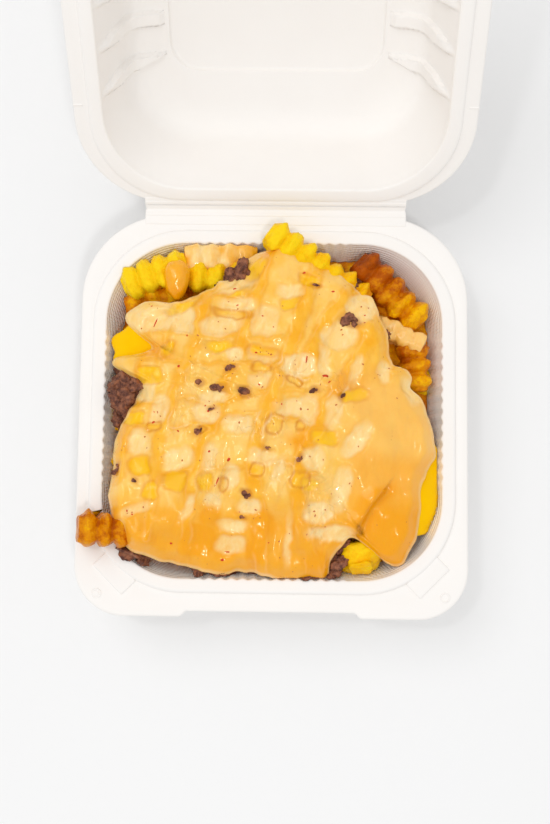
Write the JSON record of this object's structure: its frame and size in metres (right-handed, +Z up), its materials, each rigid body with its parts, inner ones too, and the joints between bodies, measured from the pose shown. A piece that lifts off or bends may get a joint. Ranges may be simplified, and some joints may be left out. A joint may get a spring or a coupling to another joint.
{
  "type": "loaded fries in a hinged takeaway box",
  "caption": "Open hinged takeaway box heaped with crinkle-cut fries under minced beef, cheese sauce and a drizzled chilli sauce; the lid swings on its hinge.",
  "frame": {"origin": "middle of the tray's flat underside", "axes": "+Z up, +Y from the front of the tray towards the hinge and the open lid, +X to the right"},
  "size_m": [0.156, 0.2901, 0.1561],
  "materials": {
    "box_plastic": "satin white mineral-filled plastic, thin moulded sheet",
    "fried_potato": "fried potato, yellow with golden-brown ridges, oily sheen",
    "minced_beef": "dark cooked minced beef, moist crumbs",
    "cheese_sauce": "smooth yellow cheese sauce, glossy",
    "chilli_sauce": "creamy peach sauce with amber drizzle and chilli flecks, glossy"
  },
  "bodies": {
    "tray": {"box_tray": "box_plastic", "fries": "fried_potato", "beef": "minced_beef", "cheese_sauce": "cheese_sauce", "chilli_sauce": "chilli_sauce"},
    "lid": {"box_lid": "box_plastic"}
  },
  "joints": [
    {"name": "lid_hinge", "type": "hinge", "parent": "tray", "child": "lid", "pos_m": [0, 0.0816, 0.04], "axis": [1, 0, 0], "range_deg": [-45.5, 103]}
  ]
}
